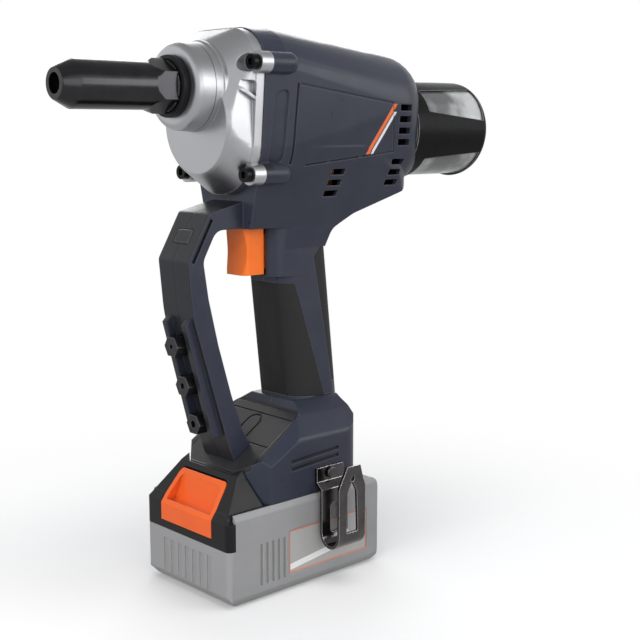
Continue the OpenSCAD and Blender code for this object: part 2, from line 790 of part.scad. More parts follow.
// Cast gear case: a tapered shell with a round boss for the nose and four screw ears
module gear_case() {
    color(silver) difference() {
        union() {
            hull() {
                rod_x(case_front, case_front + 1, 0, bz, 25.5, $fn = 48);
                rod_x(pad_front, pad_front + 1, 0, pad_z, pad_r - pad_edge, $fn = 60);
                rod_x(pad_front + pad_edge, pad_front + pad_edge + 1, 0, pad_z, pad_r, $fn = 60);
                for (s = [-1, 1])
                    rod_x(band_x - 0.5, band_x + 0.5, s * (half_w - top_corner_r),
                        bz + body_top - top_corner_r,
                        top_corner_r - rim_inset - 0.5, $fn = 48);
                rod_x(band_x - 0.5, band_x + 0.5, 0, bz - belly_drop, belly_r - rim_inset - 0.5, $fn = 48);
            }
            prism_x(egg(rim_inset), band_x, seam_x);
            turned(bz, concat([[case_front + 3, 0], [boss_front, 0], [boss_front, boss_r - 4]],
                [for (a = [15:15:90]) [boss_front + 4 - 4 * cos(a), boss_r - 4 + 4 * sin(a)]],
                [[boss_step_x, boss_r + 0.8], [boss_step_x, boss_step_r], [case_front + 3, boss_step_r]]));
            for (s = [-1, 1], e = [upper_ear, lower_ear])
                rod_x(ear_x, seam_x, s * e[0], bz + e[1], ear_r);
        }
        rod_x(gear_x - 1.5, seam_x + 1, 0, bz, nut_pitch + 2);
        rod_x(gear_x - 1.5, seam_x + 1, idler_y, idler_z, idler_pinion_pitch + 2);
        rod_x(gear_x - 1.5 - bushing_l - 0.4, gear_x, idler_y, idler_z, bushing_r + run_fit);
        rod_x(spigot_end, gear_x, 0, bz, thrust_r + run_fit);
        rod_x(boss_front - 1, spigot_end + 1, 0, bz, spigot_r + run_fit);
        for (s = [-1, 1], e = [upper_ear, lower_ear])
            rod_x(ear_x - 1, seam_x + 1, s * e[0], bz + e[1], case_screw_r + seat);
        // Driver channels in front of the ears, and ribbed pockets between the ears
        for (s = [-1, 1]) {
            for (y = [upper_ear[0], upper_ear[0] - channel_in])
                rod_x(-70, ear_x, s * y, bz + upper_ear[1], case_head_r + 0.8);
            rod_x(-70, ear_x, s * lower_ear[0], bz + lower_ear[1], case_head_r + 0.8);
            difference() {
                translate([0, s * (half_w + hold_y / 2 - pocket_depth), 0])
                    prism_y(rounded([[pad_front, bz - 35, 2], [band_x + 0.4, bz - 33, 2],
                        [band_x + 0.4, bz + 3, 2], [pad_front, bz + 4, 2]], 3), hold_y);
                translate([0, s * (half_w - pocket_depth), 0])
                    prism_y([[pad_front - 1, bz + 5], [pad_front - 1, bz + 2.4], [band_x + 1, bz - 7.5],
                        [band_x + 1, bz - 5.7]], 8);
            }
        }
    }
}
module case_screws() {
    color(black) for (s = [-1, 1], e = [upper_ear, lower_ear]) {
        rod_x(ear_x, -15, s * e[0], bz + e[1], case_screw_r);
        difference() {
            rod_x(ear_x - case_head_t, ear_x, s * e[0], bz + e[1], case_head_r);
            translate([ear_x - case_head_t - 1, s * e[0], bz + e[1]]) rotate([0, 90,
                0]) cylinder(h = 3.4, r = 2.3, $fn = 6);
        }
    }
}
module bearing_plate() {
    color(silver) difference() {
        prism_x(egg(wall + seat), plate_x, plate_x + plate_t);
        rod_x(plate_x - 1, plate_x + plate_t + 1, 0, bz, nut_bearing_r + run_fit);
        rod_x(plate_x - 1, plate_x + plate_t + 1, idler_y, idler_z, bushing_r + run_fit);
        rod_x(plate_x - 1, plate_x + plate_t + 1, 0, motor_z, motor_bearing_r + run_fit);
        for (i = [5])
            rod_y(-hold_y, hold_y, shell_screw_at[i][0], shell_screw_at[i][1], screw_boss_r + seat);
    }
}

// Nose
module nose_housing() {
    color(dark_steel) difference() {
        union() {
            turned(bz, [[tip_x, 0], [tip_x, tip_d / 2 - 0.6], [tip_x + 0.6, tip_d / 2], [cone_x, sleeve_r],
                [hex_start + 2, sleeve_r], [hex_start + 2, 0]]);
            intersection() {
                translate([hex_start, 0, bz]) rotate([0, 90, 0]) cylinder(h = hex_end - hex_start,
                    r = sleeve_r / cos(30), $fn = 6);
                turned(bz, [[hex_start, 0], [hex_start, sleeve_r - 0.4], [hex_start + 6,
                    sleeve_r / cos(30) + 0.1],
                    [hex_end, sleeve_r / cos(30) + 0.1], [hex_end, 0]]);
            }
            rod_x(hex_end - 1, spigot_end, 0, bz, spigot_r);
        }
        rod_x(nose_bore_x, spigot_end + 1, 0, bz, nose_bore_r);
        rod_x(tip_x - 1, nosepiece_x0 + 1, 0, bz, mouth_d / 2);
        rod_x(nosepiece_x0, nose_bore_x + 1, 0, bz, mouth_d / 2 - 0.2 + run_fit);
    }
}
module nose_ring() {
    color(black) ring_x(hex_end, boss_front, 0, bz, ring_r, spigot_r + run_fit);
}
module nosepiece() {
    color(dark_steel) difference() {
        rod_x(nosepiece_x0, nose_bore_x + 0.4, 0, bz, mouth_d / 2 - 0.2);
        rod_x(nosepiece_x0 - 1, nose_bore_x + 2, 0, bz, mandrel_d / 2);
    }
}
// Seats of the spare nosepieces down the guard's front
function spare_seat(i) = let (z = fz + 96 - 23.8 * i) [-59.3 + (fz + 96 - z) * 0.3046, z];
module spare_nosepieces() {
    color(dark_steel) for (i = [0:2]) {
        p = spare_seat(i);
        translate([p[0], 0, p[1]]) rotate([0, 90, 0]) difference() {
            union() {
                translate([0, 0, -11]) rotate([0, 0, 30]) cylinder(h = 10, r = spare_af / 2 / cos(30),
                    $fn = 6);
                translate([0, 0, -1.5]) cylinder(h = 8.5, r = 4);
            }
            translate([0, 0, -12]) cylinder(h = 20, r = 1.3 + 0.4 * i);
        }
    }
}

// Pulling gear
module jaw_case() {
    color(steel) difference() {
        rod_x(jaw_case_x, screw_front + 6, 0, bz, jaw_case_r);
        rod_x(jaw_case_x - 0.01, jaw_back + 2, 0, bz, 4.4, 7.2);
        rod_x(jaw_back + 1.9, screw_front + 7, 0, bz, 7.2 + run_fit);
    }
}
module jaws() {
    taper = (7.2 - 4.4) / (jaw_back + 2 - jaw_case_x);
    color(dark_steel) difference() {
        rod_x(jaw_case_x + 1, jaw_back, 0, bz, 4.3 + taper, 4.3 + taper * (jaw_back - jaw_case_x));
        rod_x(jaw_case_x, jaw_back + 1, 0, bz, 1.5);
        for (a = [0, 120, 240])
            translate([0, 0, bz]) rotate([a, 0, 0]) block([jaw_case_x, jaw_back + 1], [0, 12], [-0.5, 0.5]);
    }
}
module jaw_pusher() {
    color(steel) difference() {
        union() {
            rod_x(jaw_back + seat, screw_front - 0.6, 0, bz, 6.2);
            rod_x(screw_front - 1, pusher_back + 8, 0, bz, 3.4);
        }
        rod_x(jaw_back, pusher_back + 9, 0, bz, 2.6);
    }
}
module jaw_spring() {
    color(steel) coil(screw_front - 0.4, spring_well_x - 0.2, bz, 4.8, 0.6, 8);
}
module pull_screw() {
    color(steel) difference() {
        union() {
            rod_x(screw_front + 6, screw_back, 0, bz, screw_r);
            rod_x(screw_front, screw_front + 7, 0, bz, 7.2);
        }
        rod_x(screw_front - 1, screw_back + 1, 0, bz, screw_bore_r);
        rod_x(screw_front - 1, spring_well_x, 0, bz, spring_well_r);
    }
}
module guide_block() {
    color(black) difference() {
        wide_block([guide_x, guide_x + guide_t], guide_half, [bz - guide_rise, bz + guide_rise]);
        rod_x(guide_x - 1, guide_x + guide_t + 1, 0, bz, screw_r + run_fit);
    }
    color(black) for (s = [-1, 1])
        difference() {
            rod_x(guide_x, guide_x + guide_t, 0, bz, screw_r + 3);
            rod_x(guide_x - 1, guide_x + guide_t + 1, 0, bz, screw_r + run_fit);
        }
}
module ball_nut() {
    color(steel) difference() {
        union() {
            rod_x(nut_front, gear_x + gear_t, 0, bz, nut_hub_r);
            rod_x(gear_x + gear_t, nut_back, 0, bz, nut_r);
        }
        rod_x(nut_front - 1, nut_back + 1, 0, bz, screw_r + run_fit);
    }
}
module nut_gear() {
    color(steel) difference() {
        gear(nut_teeth, gear_x, gear_t, 0, bz, nut_to_idler);
        rod_x(gear_x - 1, gear_x + gear_t + 1, 0, bz, nut_hub_r + 0.01);
    }
}
module thrust_bearing() {
    color(steel) ring_x(spigot_end + 0.5, nut_front - run_fit, 0, bz, thrust_r, thrust_bore_r);
}
module nut_bearing() {
    color(steel) ring_x(plate_x, plate_x + plate_t, 0, bz, nut_bearing_r, nut_r + run_fit);
}
module idler_gear() {
    color(steel) {
        gear(idler_pinion_teeth, gear_x, stage_x - gear_x, idler_y, idler_z,
            nut_to_idler + 180 + 180 / idler_pinion_teeth);
        gear(idler_teeth, stage_x, stage_t, idler_y, idler_z, idler_to_motor);
        rod_x(gear_x - 1.2 - bushing_l, gear_x + 1, idler_y, idler_z, idler_journal_r);
        rod_x(stage_x + stage_t - 1, plate_x + plate_t, idler_y, idler_z, idler_journal_r);
    }
}
module idler_bushings() {
    color("#b08d57") {
        ring_x(gear_x - 1.5 - bushing_l, gear_x - 1.5, idler_y, idler_z, bushing_r,
            idler_journal_r + run_fit);
        ring_x(plate_x, plate_x + plate_t, idler_y, idler_z, bushing_r, idler_journal_r + run_fit);
    }
}

// Motor
module motor_stator() {
    color("#55585c") ring_x(stator_x, stator_end, 0, motor_z, stator_r, stator_bore_r);
}
module motor_windings() {
    color("#b5652a") {
        ring_x(stator_x - winding_l, stator_x, 0, motor_z, stator_r - 1.6, stator_bore_r + 0.8);
        ring_x(stator_end, stator_end + winding_l, 0, motor_z, stator_r - 1.6, stator_bore_r + 0.8);
    }
}
module motor_rotor() {
    color("#6a6c70") ring_x(stator_x + 1, stator_end - 1, 0, motor_z, rotor_r, shaft_d / 2 + 0.01);
}
module motor_shaft() {
    color(steel) rod_x(stage_x - 0.5, shaft_end, 0, motor_z, shaft_d / 2);
}
module motor_pinion() {
    color(steel) difference() {
        gear(pinion_teeth, stage_x, stage_t, 0, motor_z, idler_to_motor + 180 + 180 / pinion_teeth);
        rod_x(stage_x - 1, stage_x + stage_t + 1, 0, motor_z, shaft_d / 2 + 0.01);
    }
}
module motor_fan() {
    color(black) difference() {
        union() {
            rod_x(fan_x, fan_x + fan_t, 0, motor_z, 6);
            rod_x(fan_x, fan_x + 1.4, 0, motor_z, fan_r);
            for (a = [0:36:324])
                translate([fan_x, 0, motor_z]) rotate([a, 0, 0]) block([1, fan_t], [5, fan_r - 0.5],
                    [-0.7, 0.7]);
        }
        rod_x(fan_x - 1, fan_x + fan_t + 1, 0, motor_z, shaft_d / 2 + 0.01);
    }
}
module front_motor_bearing() {
    color(steel) ring_x(plate_x, plate_x + plate_t, 0, motor_z, motor_bearing_r, shaft_d / 2 + run_fit);
}
module rear_motor_bearing() {
    color(steel) ring_x(rear_bearing_x, shaft_end, 0, motor_z, motor_bearing_r, shaft_d / 2 + run_fit);
}

// Spent-mandrel path
module mandrel_tube() {
    color(steel) ring_x(tube_x[0], tube_x[1], 0, bz, tube_d / 2, tube_d / 2 - 0.7);
}
function cup_profile(r, end, t, edge) = concat([[cont_front, r - t], [cont_front, r]],
    [for (a = [0:15:90]) [end - edge + edge * sin(a), r - edge + edge * cos(a)]],
    [[end, 0], [end - t, 0]],
    [for (a = [90:-15:0]) [end - edge + (edge - t) * sin(a), r - edge + (edge - t) * cos(a)]]);
module container_frame() {
    color(black) difference() {
        turned(cont_z, cup_profile(cont_r, container_end, frame_t, cont_edge_r));
        prism_y([[cont_front + collar_l, cont_z + 11.5], [container_end - 7, cont_z + 6],
            [container_end - 5, cont_z + 26],
            [cont_front + collar_l, cont_z + 24.5]], 2 * hold_y);
        prism_y([[cont_front + collar_l, cont_z - 18.5], [container_end - 7, cont_z - 15],
            [container_end - 7, cont_z - 40],
            [cont_front + collar_l, cont_z - 40]], 2 * hold_y);
    }
}
module container_window() {
    color("#c9ced0") turned(cont_z, cup_profile(cont_r - frame_t - seat,
        container_end - frame_t - seat, window_t,
        cont_edge_r - frame_t - seat));
}

// Trigger and its switch
module trigger() {
    mid = (trigger_top + trigger_low) / 2;
    half = (trigger_top - trigger_low) / 2;
    bow = 2.6;
    radius = (half * half + bow * bow) / (2 * bow);
    sweep = asin(half / radius);
    color(orange) {
        intersection() {
            prism_y(concat(arc([trigger_front + bow - radius, mid], radius, sweep, -sweep, 10),
                [[trigger_back, trigger_low], [trigger_back, trigger_top]]), trigger_w);
            prism_z(rounded([[trigger_front - 0.1, -trigger_w / 2, trigger_round],
                [trigger_back + 1, -trigger_w / 2, 0], [trigger_back + 1, trigger_w / 2, 0],
                [trigger_front - 0.1, trigger_w / 2, trigger_round]], 6), trigger_low - 1, trigger_top + 1);
        }
        wide_block([trigger_back - 1, stem_back], trigger_w / 2 - 2, [stem_z - stem_half,
            stem_z + stem_half]);
    }
}
module trigger_spring() {
    color(steel) coil(stem_back + 0.2, switch_x[0] - 0.2, stem_z, 3.6, 0.4, 5);
}
module trigger_switch() {
    color(black) wide_block(switch_x, 9, switch_z);
}

// Work light, electronics and pack contacts
module led_lens() {
    color("#d9dde0") led_frame() block([-led_h / 2, led_h / 2], [-led_w / 2, led_w / 2], [-2, 0.4]);
}
module led_board() {
    color("#2f6b45") led_frame() block([-led_h / 2, led_h / 2], [-led_w / 2, led_w / 2], [-3.9, -2.1]);
}
module control_board() {
    color("#26323c") wide_block([8, 38.5], 20, [bay_z[0] + seat, bay_z[0] + 11]);
}
module terminal_block() {
    color(black) wide_block(terminal_x, terminal_half, [foot_base, fz + 17]);
    color("#c8a24a") for (y = blade_y)
        block([blade_front, terminal_x[0] + 1], [y - blade_t / 2, y + blade_t / 2], [head_z[0] + 1.2,
            head_z[1] - 1]);
}

// Spring-steel belt hook: a strip folded into a narrow U, screwed to the foot
module belt_hook() {
    r = (hook_in_y - hook_out_y) / 2;
    c = [(hook_in_y + hook_out_y) / 2, hook_low];
    face = -foot_half - seat;
    color(steel) difference() {
        union() {
            prism_x(concat(
                [[face, tab_z[1]], [face, tab_z[0]], [hook_in_y + hook_t / 2, jog_z]],
                arc(c, r + hook_t / 2, 0, -180, 12),
                [[hook_out_y - hook_t / 2, hook_top - 10], [hook_out_y - hook_t / 2 - 1.4, hook_top],
                    [hook_out_y + hook_t / 2 - 1.4, hook_top], [hook_out_y + hook_t / 2, hook_top - 10]],
                arc(c, r - hook_t / 2, -180, 0, 12),
                [[hook_in_y - hook_t / 2, jog_z + 0.6 * hook_t], [face - hook_t, tab_z[0] + 0.6 * hook_t],
                    [face - hook_t, tab_z[1]]]),
                hook_x, hook_x + hook_w);
        }
        rod_y(-80, 0, hook_x + hook_w / 2, hook_screw_z, 1.6 + seat);
        // Tapered outer leaf with a long window, and a window in the inner leaf
        for (s = [-1, 1])
            translate([hook_x + hook_w / 2 + s * hook_w / 2, hook_out_y, 0]) prism_y(
                [[s * 1, hook_top - 16], [s * 1, hook_top + 1], [-s * 6, hook_top + 1]], 8);
        translate([0, hook_out_y, 0]) prism_y(rounded([[hook_x + 6, hook_low + 2, 1],
            [hook_x + hook_w - 6, hook_low + 2, 1], [hook_x + hook_w - 7, hook_top - 16, 1],
            [hook_x + hook_w / 2, hook_top - 9, 1], [hook_x + 7, hook_top - 16, 1]], 3), 8);
        translate([0, hook_in_y, 0]) prism_y(rounded_box(hook_x + 7, hook_x + hook_w - 7, hook_low - 1,
            hook_low + 17, 2, 3), 8);
    }
}
module hook_screw() {
    y = -foot_half - seat - hook_t;
    color(steel) {
        rod_y(y, -foot_half + 10, hook_x + hook_w / 2, hook_screw_z, 1.6);
        rod_y(y - 2, y, hook_x + hook_w / 2, hook_screw_z, 3.4);
    }
}
// Folding wire ring in a hollow of the housing's top
module hanging_ring() {
    r = ring_wire / 2;
    c = ring_w / 2;
    color(steel) {
        for (s = [-1, 1]) {
            rod_x(ring_x, ring_x + ring_len - c, s * c, ring_z, r);
            rod_y(s > 0 ? c : -ring_seat_half - 2, s > 0 ? ring_seat_half + 2 : -c, ring_x, ring_z, r);
            translate([ring_x, s * c, ring_z]) sphere(r);
        }
        translate([ring_x + ring_len - c, 0, ring_z]) rotate([0, 0, -90]) rotate_extrude(angle = 180)
            translate([c, 0]) circle(r);
    }
}

// Battery pack
function pack_side() =
    rounded([[pack_front, 7, 2], [pack_front + 6, 0, 2], [-pack_front - 8, 0, 4], [-pack_front, 10, 6],
        [-pack_front, rim_z - 11, 7], [-pack_front - 7, rim_z, 4], [pack_front, rim_z, 0]], 4);
function pack_room(d) =
    [[pack_front + d, pack_wall], [-pack_front - d, pack_wall], [-pack_front - d, rim_z - 13],
        [-pack_front - 7 - d, rim_z - 2], [-pack_front - 7 - d, rim_z + 1], [pack_front + d, rim_z + 1]];
function pack_plan(d) =
    rounded([[pack_front + d, -pack_half + d, 4 - d], [-pack_front - d, -pack_half + d, 8.5 - d],
        [-pack_front - d, pack_half - d, 8.5 - d], [pack_front + d, pack_half - d, 4 - d]], 6);
function pack_end() =
    rounded(mirrored([[pack_half - 4, 0, 2], [pack_half, 5, 3], [pack_half, rim_z - 3, 3],
        [pack_half - 2, rim_z, 0]]), 3);
module pack_case() {
    color(grey) difference() {
        intersection() {
            prism_z(pack_plan(0), 0, rim_z);
            prism_y(pack_side(), 2 * hold_y);
            prism_x(pack_end(), pack_front - 1, -pack_front + 1);
        }
        intersection() {
            prism_z(pack_plan(pack_wall), pack_wall, rim_z + 1);
            prism_y(pack_room(pack_wall), 2 * hold_y);
        }
        block([pack_front - 1, pack_front + skirt_t + seat], [-hold_y, hold_y],
            [skirt_low - seat, rim_z + 1]);
        for (s = [-1, 1]) translate([0, s * (pack_half + 3.2), 0]) {
            prism_y(rounded_box(-17, 47.5, 10, fz - 15, 2, 3), 7.6);
            for (i = [0:4]) translate([-39 + 4.4 * i, 0, 0]) prism_y(rounded_box(0, 1.8, 9, fz - 18,
                0.8, 2), 8.2);
        }
        for (i = [-3:3])
            block([pack_front - 1, pack_front + 0.9], [i * 7 - 2, i * 7 + 2], [6, fz - 24]);
        for (x = [-1, 1], y = [-1, 1])
            translate([x * (-pack_front - 9), y * (pack_half - 10), -1]) {
                cylinder(h = pack_wall + 2, r = 1.6);
                cylinder(h = 2.4, r = 3.2);
            }
    }
    color(grey) for (x = [-1, 1], y = [-1, 1])
        translate([x * (-pack_front - 9), y * (pack_half - 10), pack_wall - 0.2]) difference() {
            cylinder(h = skirt_low - 12, r = 4);
            translate([0, 0, -1]) cylinder(h = skirt_low, r = 1.5 + run_fit);
        }
}
function wedge_side() = [[pack_front - 0.1, skirt_low], [pack_front - 0.1, button_lip + 0.6],
    [slope_low[0] - 1.2, slope_low[1] - 0.6], [-28.9,
        slope_low[1] + (-28.9 - slope_low[0]) * tan(slope_angle) - 0.3],
    [-28.9, fz], [pack_front + skirt_t, fz], [pack_front + skirt_t, skirt_low]];
function wedge_end() = rounded(mirrored([[pack_half + 1, skirt_low - 1, 0], [pack_half + 1, fz - 6, 0],
    [pack_half - pack_wall - seat, fz - 0.5, 1], [27, fz + 19, 6], [24, fz + 28, 0]]), 4);
// Room for the foot in front of and above the pack's cover
module foot_room() {
    difference() {
        block([-80, 70], [-hold_y, hold_y], [foot_base - 0.2, fz + 60]);
        prism_z([[-90, -60], [-90, 60], [-28.5 - slide, foot_half + 3], [foot_front - slide, 19],
            [foot_front - slide, -19], [-28.5 - slide, -foot_half - 3]], 0, fz + 80);
    }
}
module pack_cover() {
    color(black) difference() {
        union() {
            difference() {
                union() {
                    intersection() {
                        prism_z(pack_plan(pack_wall + seat), fz, rim_z);
                        prism_y(pack_room(pack_wall + seat), 2 * hold_y);
                    }
                    intersection() {
                        prism_y(wedge_side(), pack_w - 0.8);
                        prism_z(pack_plan(-0.1), 0, fz + 60);
                        prism_x(wedge_end(), pack_front - 2, 0);
                    }
                    intersection() {
                        prism_y(wedge_side(), pack_w);
                        prism_z(pack_plan(-0.1), 0, fz - 2);
                    }
                }
                foot_room();
            }
            wide_block([foot_front - 2, rail_back], neck_half, [fz + 1, head_z[0] + 1]);
            wide_block([foot_front - 2, rail_back], head_half, head_z);
            wide_block([button_stop, button_stop + 1.5], 6, [button_low + 1, fz + 1]);
        }
        intersection() {
            prism_y([[-70, button_low - 0.6], [-50.2, button_low - 0.6], [-50.2, fz - 8], [-46.6, fz],
                [foot_front - 0.9, fz + 17.6], [-52, fz + 17.6], [-70, fz]], 2 * hold_y);
            prism_x(button_end(0.35), -80, -30);
        }
        for (y = blade_y)
            block([blade_front - 2, rail_back + 1], [y - blade_slot / 2, y + blade_slot / 2],
                [head_z[0] + 0.6, head_z[1] + 1]);
    }
}
// End view of the button and its pocket: straight below, drawn in towards the top
function button_end(d) =
    rounded(mirrored([[button_half + d, button_low - 6, 0], [button_half + d, fz + 3, 6],
        [button_top_half + d, fz + 17.2 + d, 4]]), 4);
module pack_button() {
    color(orange) difference() {
        intersection() {
            prism_y([[pack_front - 0.6, button_low], [pack_front - 0.6, button_lip], [-48.4,
                fz + 16.8], [-47.9, fz + 16.8],
                [-49.5, fz], [button_back, fz - 7], [button_back, button_low]], 2 * button_half + 2);
            prism_x(button_end(0), pack_front - 5, -40);
        }
        intersection() {
            prism_y([[pack_front + 1.4, fz - 1.4], [-57, fz - 3.4], [-53.4, fz - 1], [-51, fz + 8],
                [-50, fz + 14.4],
                [-62, fz + 14.4]], 2 * button_half);
            prism_x(button_end(-3), pack_front - 5, -40);
        }
    }
}
module button_spring() {
    color(steel) coil(button_back + 0.35, button_stop - 0.35, button_low + 5, 2.6, 0.3, 3);
}
module pack_cells() {
    color("#4f7f9a") for (i = [-2:2], k = [0, 1])
        rod_y(-cell_l / 2, cell_l / 2, i * cell_pitch, cell_z + k * cell_rise, cell_r);
}
module pack_board() {
    color("#2f6b45") wide_block([-40, 50], 30, [board_z, board_z + 1.6]);
}
module pack_terminals() {
    color("#c8a24a") for (y = blade_y, s = [-1, 1])
        block([blade_front + 1, rail_back - 1], [y + s * 0.95 - 0.2, y + s * 0.95 + 0.2],
            [head_z[0] + 0.7, head_z[1] - 2]);
}
module pack_screws() {
    color(dark_steel) for (x = [-1, 1], y = [-1, 1])
        translate([x * (-pack_front - 9), y * (pack_half - 10), 0.3]) {
            cylinder(h = 14, r = 1.5);
            cylinder(h = 1.05, r = 2.9);
        }
}

left_shell();
right_shell();
left_grip();
right_grip();
foot_cover();
shell_screws();
gear_case();
case_screws();
bearing_plate();
nose_housing();
nose_ring();
nosepiece();
spare_nosepieces();
jaw_case();
jaws();
jaw_pusher();
jaw_spring();
pull_screw();
guide_block();
ball_nut();
nut_gear();
thrust_bearing();
nut_bearing();
idler_gear();
idler_bushings();
motor_stator();
motor_windings();
motor_rotor();
motor_shaft();
motor_pinion();
motor_fan();
front_motor_bearing();
rear_motor_bearing();
mandrel_tube();
container_frame();
container_window();
trigger();
trigger_spring();
trigger_switch();
led_lens();
led_board();
control_board();
terminal_block();
belt_hook();
hook_screw();
hanging_ring();
pack_case();
pack_cover();
pack_button();
button_spring();
pack_cells();
pack_board();
pack_terminals();
pack_screws();
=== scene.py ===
from math import pi, radians

import bmesh
import bpy
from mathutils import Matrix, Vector


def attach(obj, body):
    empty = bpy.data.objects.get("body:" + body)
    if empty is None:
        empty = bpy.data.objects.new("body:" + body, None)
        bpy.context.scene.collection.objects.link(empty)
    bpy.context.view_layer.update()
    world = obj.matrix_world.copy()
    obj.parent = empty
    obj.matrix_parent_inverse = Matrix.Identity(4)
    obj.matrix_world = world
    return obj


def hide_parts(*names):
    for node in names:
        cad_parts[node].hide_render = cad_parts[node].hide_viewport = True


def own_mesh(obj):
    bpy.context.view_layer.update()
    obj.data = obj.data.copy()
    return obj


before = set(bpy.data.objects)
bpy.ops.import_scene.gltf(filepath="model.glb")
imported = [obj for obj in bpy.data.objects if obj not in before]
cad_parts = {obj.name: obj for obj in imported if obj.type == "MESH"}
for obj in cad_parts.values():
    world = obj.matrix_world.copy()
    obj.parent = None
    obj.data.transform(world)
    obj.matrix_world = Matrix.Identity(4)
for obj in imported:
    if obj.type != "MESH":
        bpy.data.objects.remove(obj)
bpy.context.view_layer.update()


# Motor: a brushless motor that lies under the pulling screw. Stator and rotor are stacks of
# thin lacquered sheet, the windings enamelled copper wire, the fan a black nylon moulding,
# and the bearings and shaft ground steel. The whole motor is clamped between the half shells.
def paint(red, green, blue):
    """A screen colour as the linear colour that a shader takes."""
    return tuple((c / 255 / 12.92 if c < 10.32 else ((c / 255 + 0.055) / 1.055) ** 2.4)
                 for c in (red, green, blue)) + (1.0,)


def wire(tree, source, target):
    """Joins two sockets of a shader."""
    tree.links.new(source, target)


def new_node(tree, kind, **settings):
    """A shader node with its sockets and settings filled in."""
    node = tree.nodes.new(kind)
    for key, value in settings.items():
        if key in node.inputs:
            node.inputs[key].default_value = value
        else:
            setattr(node, key, value)
    return node


def blend_colours(tree, factor, under, over):
    """Two colours mixed by a factor that runs over the surface."""
    mix = new_node(tree, "ShaderNodeMix", data_type="RGBA")
    wire(tree, factor, mix.inputs[0])
    for value, socket in ((under, mix.inputs[6]), (over, mix.inputs[7])):
        if isinstance(value, tuple):
            socket.default_value = value
        else:
            wire(tree, value, socket)
    return mix.outputs[2]


def ramp(tree, value, low, high, first=0.0, last=1.0, **settings):
    """A value stretched from the range low to high on the range first to last."""
    node = new_node(tree, "ShaderNodeMapRange", **settings)
    for socket, number in (("From Min", low), ("From Max", high),
                           ("To Min", first), ("To Max", last)):
        node.inputs[socket].default_value = number
    wire(tree, value, node.inputs["Value"])
    return node.outputs["Result"]


CLOUD_SPAN = (0.3, 0.7)      # the stretch of the cloud noise that sets the gloss
LEAST_ROUGH = 0.02
GRAIN_DEPTH = 0.0002
WEAR_AND_HIGHLIGHT_SPAN = (0.99, 0.86)      # cosine of an edge's turn where wear and painted highlight start and are full
WEAR_HIGHLIGHT_GAIN, WEAR_HIGHLIGHT_LIFT = 1.7, 0.05
CREASE_SPAN = (0.15, 0.65)   # openness of a crease, from darkest painted shade to clear
CREASE_SHADE = 0.4


def surface(name, light, deep, rough, metal=0.0, grain=2400.0, relief=0.1, edge=0.0005, wear_and_highlight=0.25,
            clouds=70.0, spread=0.06, wear_and_highlight_colour=None, shine=0.5, crease=0.0):
    """A worked surface: clouded colour, fine grain, uneven gloss, edges lightened partly as wear and
    partly as painted highlight, and creases darkened as painted shade.
    """
    mat = bpy.data.materials.new(name)
    mat.use_nodes = True
    tree = mat.node_tree
    tree.nodes.clear()
    skin = new_node(tree, "ShaderNodeBsdfPrincipled", Metallic=metal)
    skin.inputs["Specular IOR Level"].default_value = shine
    out = new_node(tree, "ShaderNodeOutputMaterial")
    wire(tree, skin.outputs["BSDF"], out.inputs["Surface"])
    place = new_node(tree, "ShaderNodeTexCoord").outputs["Object"]
    cloud = new_node(tree, "ShaderNodeTexNoise", Scale=clouds, Detail=5.0, Roughness=0.6)
    fine = new_node(tree, "ShaderNodeTexNoise", Scale=grain, Detail=2.0)
    wire(tree, place, cloud.inputs["Vector"])
    wire(tree, place, fine.inputs["Vector"])
    colour = blend_colours(tree, cloud.outputs["Fac"], deep, light)
    gloss = ramp(tree, cloud.outputs["Fac"], *CLOUD_SPAN,
                 first=max(rough - spread, LEAST_ROUGH), last=rough + spread)
    wire(tree, gloss, skin.inputs["Roughness"])
    bump = new_node(tree, "ShaderNodeBump", Strength=relief, Distance=GRAIN_DEPTH)
    wire(tree, fine.outputs["Fac"], bump.inputs["Height"])
    soft = new_node(tree, "ShaderNodeBevel", samples=4, Radius=edge)
    wire(tree, soft.outputs["Normal"], bump.inputs["Normal"])
    # Edges lighten by the turn of the bevel's normal: partly wear, partly painted highlight.
    if wear_and_highlight:
        turn = new_node(tree, "ShaderNodeVectorMath", operation="DOT_PRODUCT")
        wire(tree, soft.outputs["Normal"], turn.inputs[0])
        wire(tree, new_node(tree, "ShaderNodeNewGeometry").outputs["Normal"], turn.inputs[1])
        wear_and_highlight_mask = ramp(tree, turn.outputs["Value"], *WEAR_AND_HIGHLIGHT_SPAN, last=wear_and_highlight)
        wear_and_highlight_tint = wear_and_highlight_colour or tuple(min(1.0, WEAR_HIGHLIGHT_GAIN * c + WEAR_HIGHLIGHT_LIFT) for c in light[:3]) + (1.0,)
        colour = blend_colours(tree, wear_and_highlight_mask, colour, wear_and_highlight_tint)
    # Creases darken by ambient occlusion: painted shade where less light reaches.
    if crease:
        nook = new_node(tree, "ShaderNodeAmbientOcclusion", samples=6, Distance=crease)
        shaded = tuple(CREASE_SHADE * c for c in deep[:3]) + (1.0,)
        colour = blend_colours(tree, ramp(tree, nook.outputs["AO"], *CREASE_SPAN), shaded, colour)
    wire(tree, colour, skin.inputs["Base Color"])
    wire(tree, bump.outputs["Normal"], skin.inputs["Normal"])
    return mat


def place_on(tree):
    """The point on the piece, in the piece's own coordinates."""
    return next(n for n in tree.nodes if n.type == "TEX_COORD").outputs["Object"]


ONE_BAND = 2 * pi / 20       # scale of a wave texture with one band to the metre


